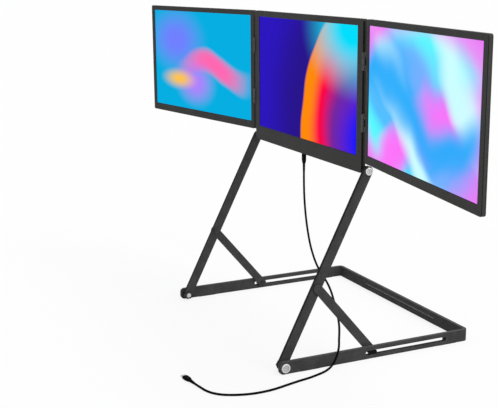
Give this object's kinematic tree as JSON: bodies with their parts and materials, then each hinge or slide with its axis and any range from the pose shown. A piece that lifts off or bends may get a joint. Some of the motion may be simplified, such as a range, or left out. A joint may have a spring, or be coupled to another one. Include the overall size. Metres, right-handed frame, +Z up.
{
  "type": "laptop screen extender",
  "caption": "Folding stand with a U-shaped floor frame, propped arms and a tilting centre display with two hinged side displays, plus its USB-C cable.",
  "frame": {"origin": "middle of the base frame's footprint, on the surface the rubber feet stand on", "axes": "+X to the user's right along the row of displays, +Y away from the user, +Z up"},
  "size_m": [1.1134, 0.4825, 0.526],
  "materials": {
    "frame_paint": "matt powder coat",
    "foot_rubber": "matt",
    "silver_caps": "turned satin",
    "blackened_steel": "blackened",
    "hinge_steel": "satin dark nickel",
    "glide_plastic": "moulded",
    "bezel_plastic": "fine matt texture",
    "cover_plastic": "fine matt texture",
    "panel_glass": "satin anti-glare",
    "plate_aluminium": "rolled",
    "circuit_board": "solder mask",
    "plug_metal": "nickel plated",
    "cable_jacket": "satin"
  },
  "bodies": {
    "base": {"base_frame": "frame_paint", "slot_stop_pins": "blackened_steel", "rubber_feet": "foot_rubber", "arm_pivot_bolts": "silver_caps", "arm_pivot_spacers": "glide_plastic", "arm_pivot_lock_nuts": "blackened_steel", "usb_cable": "cable_jacket", "laptop_plug_shell": "plug_metal", "laptop_plug_overmold": "cable_jacket", "laptop_plug_strain_relief": "cable_jacket"},
    "arms": {"left_arm": "frame_paint", "right_arm": "frame_paint", "strut_pivot_rivets": "blackened_steel", "strut_washers": "blackened_steel", "tilt_hinge_axles": "silver_caps"},
    "struts": {"left_strut": "frame_paint", "right_strut": "frame_paint", "strut_foot_pins": "blackened_steel"},
    "slot_glides": {"slot_glides": "glide_plastic"},
    "centre_screen": {"centre_front_frame": "bezel_plastic", "centre_lcd_panel": "panel_glass", "centre_backlight_plate": "plate_aluminium", "centre_rear_cover": "cover_plastic", "centre_cover_screws": "blackened_steel", "centre_driver_board": "circuit_board", "usb_c_sockets": "plug_metal", "button_switches": "glide_plastic", "tilt_hinge_brackets": "blackened_steel", "bracket_screws": "blackened_steel", "left_hinge_centre_leaves": "hinge_steel", "right_hinge_centre_leaves": "hinge_steel", "left_hinge_pins": "hinge_steel", "right_hinge_pins": "hinge_steel", "screen_plug_shell": "plug_metal", "screen_plug_overmold": "cable_jacket", "screen_plug_strain_relief": "cable_jacket"},
    "left_screen": {"left_front_frame": "bezel_plastic", "left_lcd_panel": "panel_glass", "left_backlight_plate": "plate_aluminium", "left_rear_cover": "cover_plastic", "left_cover_screws": "blackened_steel", "left_driver_board": "circuit_board", "left_hinge_screen_leaves": "hinge_steel"},
    "right_screen": {"right_front_frame": "bezel_plastic", "right_lcd_panel": "panel_glass", "right_backlight_plate": "plate_aluminium", "right_rear_cover": "cover_plastic", "right_cover_screws": "blackened_steel", "right_driver_board": "circuit_board", "right_hinge_screen_leaves": "hinge_steel"},
    "power_button": {"power_button": "cover_plastic"},
    "menu_up_button": {"menu_up_button": "cover_plastic"},
    "menu_down_button": {"menu_down_button": "cover_plastic"}
  },
  "joints": [
    {"name": "arm_fold", "type": "hinge", "parent": "base", "child": "arms", "pos_m": [0, -0.1625, 0.0106], "axis": [-1, 0, 0], "range_deg": [-2.5, 60], "deforming": ["usb_cable"]},
    {"name": "strut_swing", "type": "hinge", "parent": "arms", "child": "struts", "pos_m": [0, -0.104, 0.12591], "axis": [1, 0, 0], "range_deg": [-5, 108]},
    {"name": "glide_slide", "type": "slide", "parent": "base", "child": "slot_glides", "axis": [0, 1, 0], "range_m": [-0.0056, 0.125]},
    {"name": "screen_tilt", "type": "hinge", "parent": "arms", "child": "centre_screen", "pos_m": [0, -0.01636, 0.29865], "axis": [1, 0, 0], "range_deg": [-30, 60]},
    {"name": "left_screen_fold", "type": "hinge", "parent": "centre_screen", "child": "left_screen", "pos_m": [-0.1916, -0.02376, 0.418], "axis": [0, 0, 1], "range_deg": [-25.5, 169.5]},
    {"name": "right_screen_fold", "type": "hinge", "parent": "centre_screen", "child": "right_screen", "pos_m": [0.1916, -0.02376, 0.418], "axis": [0, 0, 1], "range_deg": [-171.1, 23.9]},
    {"name": "power_button_press", "type": "slide", "parent": "centre_screen", "child": "power_button", "axis": [0, -1, 0], "range_m": [0, 0.0006], "stiffness_N_per_m": 1500},
    {"name": "menu_up_button_press", "type": "slide", "parent": "centre_screen", "child": "menu_up_button", "axis": [0, -1, 0], "range_m": [0, 0.0006], "stiffness_N_per_m": 1500},
    {"name": "menu_down_button_press", "type": "slide", "parent": "centre_screen", "child": "menu_down_button", "axis": [0, -1, 0], "range_m": [0, 0.0006], "stiffness_N_per_m": 1500}
  ],
  "couplings": [
    {"joint": "strut_swing", "follows": "arm_fold", "ratio": 1.7862},
    {"joint": "glide_slide", "follows": "arm_fold", "m_per_rad": 0.11842}
  ]
}
